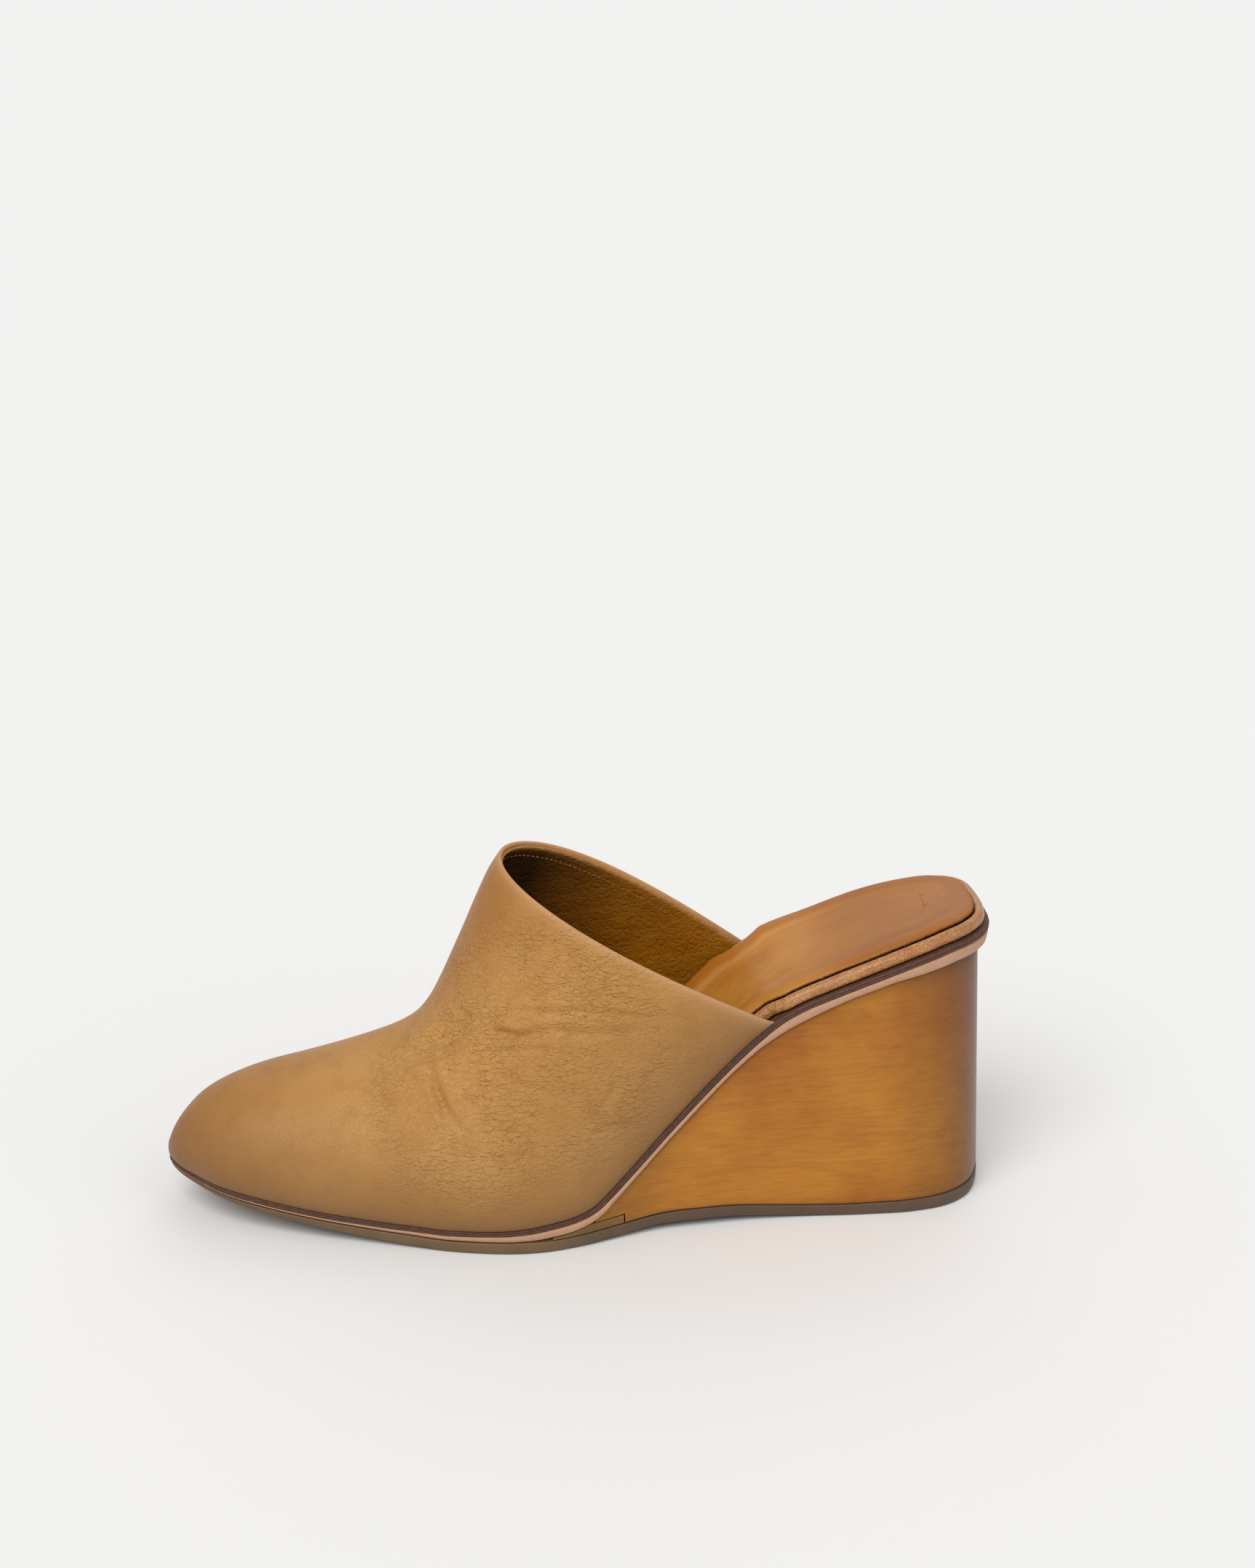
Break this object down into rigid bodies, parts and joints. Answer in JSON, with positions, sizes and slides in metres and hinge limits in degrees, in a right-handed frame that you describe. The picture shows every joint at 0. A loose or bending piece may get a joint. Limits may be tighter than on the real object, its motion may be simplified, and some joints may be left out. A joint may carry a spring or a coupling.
{
  "type": "wedge mule",
  "caption": "Closed-toe leather mule for the left foot on a varnished wooden wedge, with leather welt and midsole, rubber outsole and padded sock.",
  "frame": {"origin": "on the floor, under the middle of the shoe's bounding box", "axes": "toe to -X, heel to +X, inner side of the foot to +Y, up to +Z"},
  "size_m": [0.243, 0.0836, 0.1065],
  "materials": {
    "tread_rubber": "brown moulded rubber, satin, a little translucent and olive at the forefoot",
    "filler": "olive tan filler, satin",
    "wedge_wood": "satin varnished amber brown wood with faint level grain",
    "midsole_leather": "matt cut edge of undyed leather",
    "welt_leather": "dark dyed raw leather edge with light fibres",
    "rim_leather": "glossy pebbled leather wrapped round the insole's edge",
    "sock_leather": "smooth tan leather, satin",
    "upper_leather": "warm tan leather with fine pebble grain and soft creases, satin"
  },
  "bodies": {
    "root": {"outsole": "tread_rubber", "wedge_filler": "filler", "wedge": "wedge_wood", "midsole": "midsole_leather", "welt": "welt_leather", "insole": "rim_leather", "sock": "sock_leather", "upper": "upper_leather"}
  },
  "joints": []
}
